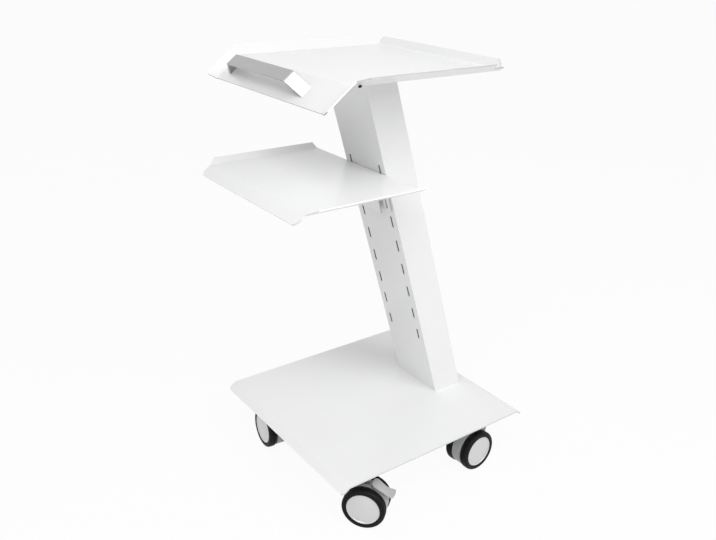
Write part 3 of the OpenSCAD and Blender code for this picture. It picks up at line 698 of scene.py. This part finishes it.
def floor_material(tint):
    """Pale floor: nearly white to the camera and in gloss, and still with the trolley's shadow."""
    material = bpy.data.materials.new("Studio floor")
    material.use_nodes = True
    tree = material.node_tree
    shader = tree.nodes["Principled BSDF"]
    shader.inputs["Base Color"].default_value = (*tint, 1.0)
    shader.inputs["Roughness"].default_value = FLOOR_ROUGHNESS
    glow = tree.nodes.new("ShaderNodeEmission")
    glow.inputs["Strength"].default_value = 1.0
    path = tree.nodes.new("ShaderNodeLightPath")
    seen = add_math(tree, "MAXIMUM", path.outputs["Is Camera Ray"], path.outputs["Is Glossy Ray"])
    part = add_math(tree, "MULTIPLY", seen, FLOOR_GLOW)
    surface = mix_shaders(tree, part, shader.outputs["BSDF"], glow.outputs["Emission"])
    tree.links.new(surface, tree.nodes["Material Output"].inputs["Surface"])
    return material


def studio_world(strength):
    """Even light from all round, and white where the camera, gloss or glass sees it."""
    world = bpy.data.worlds.new("Studio world")
    world.use_nodes = True
    tree = world.node_tree
    light = tree.nodes["Background"]
    light.inputs["Color"].default_value = WHITE
    light.inputs["Strength"].default_value = strength
    white = tree.nodes.new("ShaderNodeBackground")
    white.inputs["Color"].default_value = WHITE
    path = tree.nodes.new("ShaderNodeLightPath")
    eye = add_math(tree, "MAXIMUM", path.outputs["Is Camera Ray"], path.outputs["Is Transmission Ray"])
    seen = add_math(tree, "MAXIMUM", eye, path.outputs["Is Glossy Ray"])
    surface = mix_shaders(tree, seen, light.outputs["Background"], white.outputs["Background"])
    tree.links.new(surface, tree.nodes["World Output"].inputs["Surface"])
    return world


def place_object(name, data, location, turn):
    """Links a lamp or camera at a place, with its turn as a quaternion."""
    shown = bpy.data.objects.new(name, data)
    shown.location = location
    shown.rotation_mode = "QUATERNION"
    shown.rotation_quaternion = turn
    bpy.context.scene.collection.objects.link(shown)
    return shown


def add_lamp(name, place, size, power):
    """A square area lamp that points at the trolley's middle."""
    lamp = bpy.data.lights.new(name, "AREA")
    lamp.shape = "SQUARE"
    lamp.size = size
    lamp.energy = power
    place_object(name, lamp, place, (Vector(LAMP_AIM) - Vector(place)).to_track_quat("-Z", "Y"))


def add_floor(tint):
    bm = bmesh.new()
    bmesh.ops.create_grid(bm, x_segments=1, y_segments=1, size=FLOOR_HALF)
    mesh = bpy.data.meshes.new("floor")
    bm.to_mesh(mesh)
    bm.free()
    mesh.materials.append(floor_material(tint))
    floor = bpy.data.objects.new("floor", mesh)
    bpy.context.scene.collection.objects.link(floor)


def camera_turn(yaw, pitch, roll):
    """Turn of a camera that looks back along +Y, turned left, down and about its own line."""
    forward = Vector((-math.sin(yaw) * math.cos(pitch), math.cos(yaw) * math.cos(pitch), -math.sin(pitch)))
    level = forward.to_track_quat("-Z", "Y").to_matrix()
    return (level @ Matrix.Rotation(roll, 3, "Z")).to_quaternion()


def add_camera(studio):
    camera = bpy.data.cameras.new("camera")
    camera.sensor_width = SENSOR_WIDTH
    camera.lens = studio.camera_lens
    camera.shift_x, camera.shift_y = CAMERA_SHIFT
    camera.clip_end = CAMERA_REACH
    turn = camera_turn(studio.camera_yaw, studio.camera_pitch, studio.camera_roll)
    bpy.context.scene.camera = place_object("camera", camera, studio.camera_place, turn)


class TROLLEY_OT_studio(bpy.types.Operator):
    """Build the floor, the light and the camera"""

    bl_idname = "trolley.studio"
    bl_label = "Studio"

    def execute(self, context):
        scene = context.scene
        studio = scene.trolley_studio
        scene.view_settings.view_transform = "Standard"
        add_floor(scene.trolley_colours.floor)
        add_lamp("key_panel", KEY_PLACE, KEY_SIZE, studio.key_light)
        add_lamp("right_panel", RIGHT_PLACE, RIGHT_SIZE, studio.right_light)
        scene.world = studio_world(studio.sky)
        add_camera(studio)
        return {"FINISHED"}


# Panel and registration


class TROLLEY_PT_panel(bpy.types.Panel):
    """Lists the pieces, sizes and colours of the trolley"""

    bl_label = "Medical trolley"
    bl_idname = "TROLLEY_PT_panel"
    bl_space_type = "VIEW_3D"
    bl_region_type = "UI"
    bl_category = "Trolley"

    def draw(self, context):
        scene = context.scene
        for group in (scene.trolley_sizes, scene.trolley_colours, scene.trolley_studio):
            box = self.layout.box()
            for key in group.bl_rna.properties.keys():
                if key not in ("rna_type", "name"):
                    box.prop(group, key)
        for operator in OPERATORS:
            self.layout.operator(operator.bl_idname)


OPERATORS = (
    TROLLEY_OT_sheet_metal,
    TROLLEY_OT_handle,
    TROLLEY_OT_fasteners,
    TROLLEY_OT_tyres,
    TROLLEY_OT_wheels,
    TROLLEY_OT_casters,
    TROLLEY_OT_studio,
)
CLASSES = (TrolleySizes, TrolleyColours, TrolleyStudio, *OPERATORS, TROLLEY_PT_panel)


def register():
    for item in CLASSES:
        bpy.utils.register_class(item)
    bpy.types.Scene.trolley_sizes = bpy.props.PointerProperty(type=TrolleySizes)
    bpy.types.Scene.trolley_colours = bpy.props.PointerProperty(type=TrolleyColours)
    bpy.types.Scene.trolley_studio = bpy.props.PointerProperty(type=TrolleyStudio)


def unregister():
    del bpy.types.Scene.trolley_studio
    del bpy.types.Scene.trolley_colours
    del bpy.types.Scene.trolley_sizes
    for item in reversed(CLASSES):
        bpy.utils.unregister_class(item)


def main():
    register()
    bpy.ops.trolley.sheet_metal()
    bpy.ops.trolley.handle()
    bpy.ops.trolley.fasteners()
    bpy.ops.trolley.tyres()
    bpy.ops.trolley.wheels()
    bpy.ops.trolley.casters()
    bpy.ops.trolley.studio()


if __name__ == "__main__":
    main()
